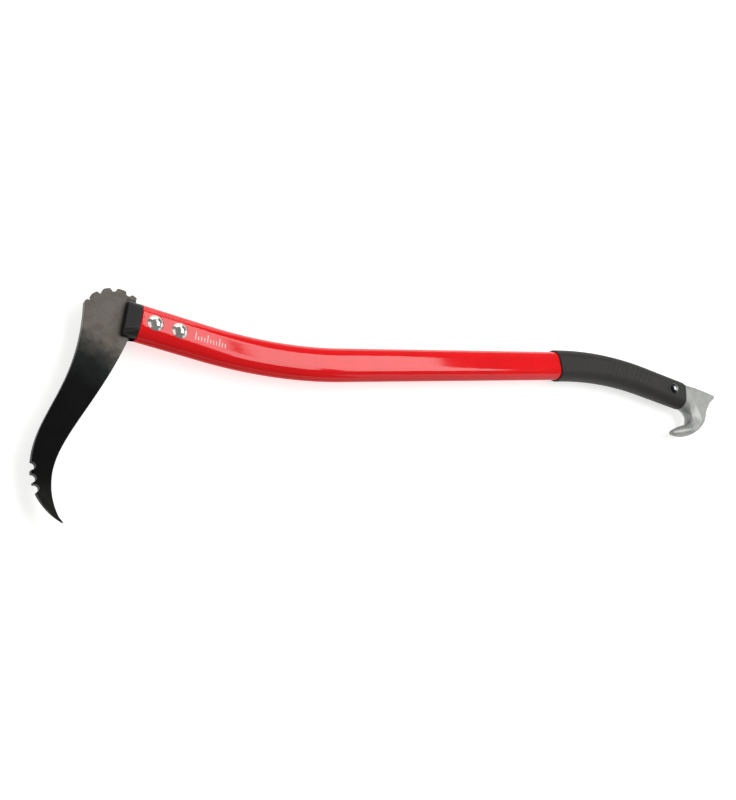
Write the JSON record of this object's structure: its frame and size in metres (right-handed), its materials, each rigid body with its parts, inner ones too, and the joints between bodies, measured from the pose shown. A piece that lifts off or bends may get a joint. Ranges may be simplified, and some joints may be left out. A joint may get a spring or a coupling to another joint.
{
  "type": "pickaroon",
  "caption": "Long-handled timber hook: steel pick blade with toothed crown on a bent flat-oval tube, rubber grip and cast hook at the butt.",
  "frame": {"origin": "under the middle of the tool's box as it lies on its side, on the plane it rests on", "axes": "+X along the straight middle of the handle from the blade to the butt, +Y in the plane of the tool towards the blade's crown, +Z through the tool's thickness, towards the side with the domed nuts"},
  "size_m": [0.7856, 0.173, 0.0293],
  "materials": {
    "blade_steel": "forged and hardened steel, black oxide, greyer at the head",
    "plug_nylon": "moulded black nylon, satin",
    "red_paint": "gloss red powder coat on aluminium tube",
    "plated_fastener": "bright nickel plating on steel",
    "dark_fastener": "black nickel plating on steel, rubbed bright at the crown",
    "grip_rubber": "moulded charcoal rubber with raised anti-slip marks",
    "cast_alloy": "sand-blasted aluminium casting, satin"
  },
  "bodies": {
    "root": {"hook_blade": "blade_steel", "head_plug_front": "plug_nylon", "head_plug_back": "plug_nylon", "handle_tube": "red_paint", "blade_sleeve_nuts": "plated_fastener", "blade_screws": "plated_fastener", "grip_sleeve": "grip_rubber", "butt_hook": "cast_alloy", "butt_sleeve_nut": "dark_fastener", "butt_screw": "dark_fastener"}
  },
  "joints": []
}
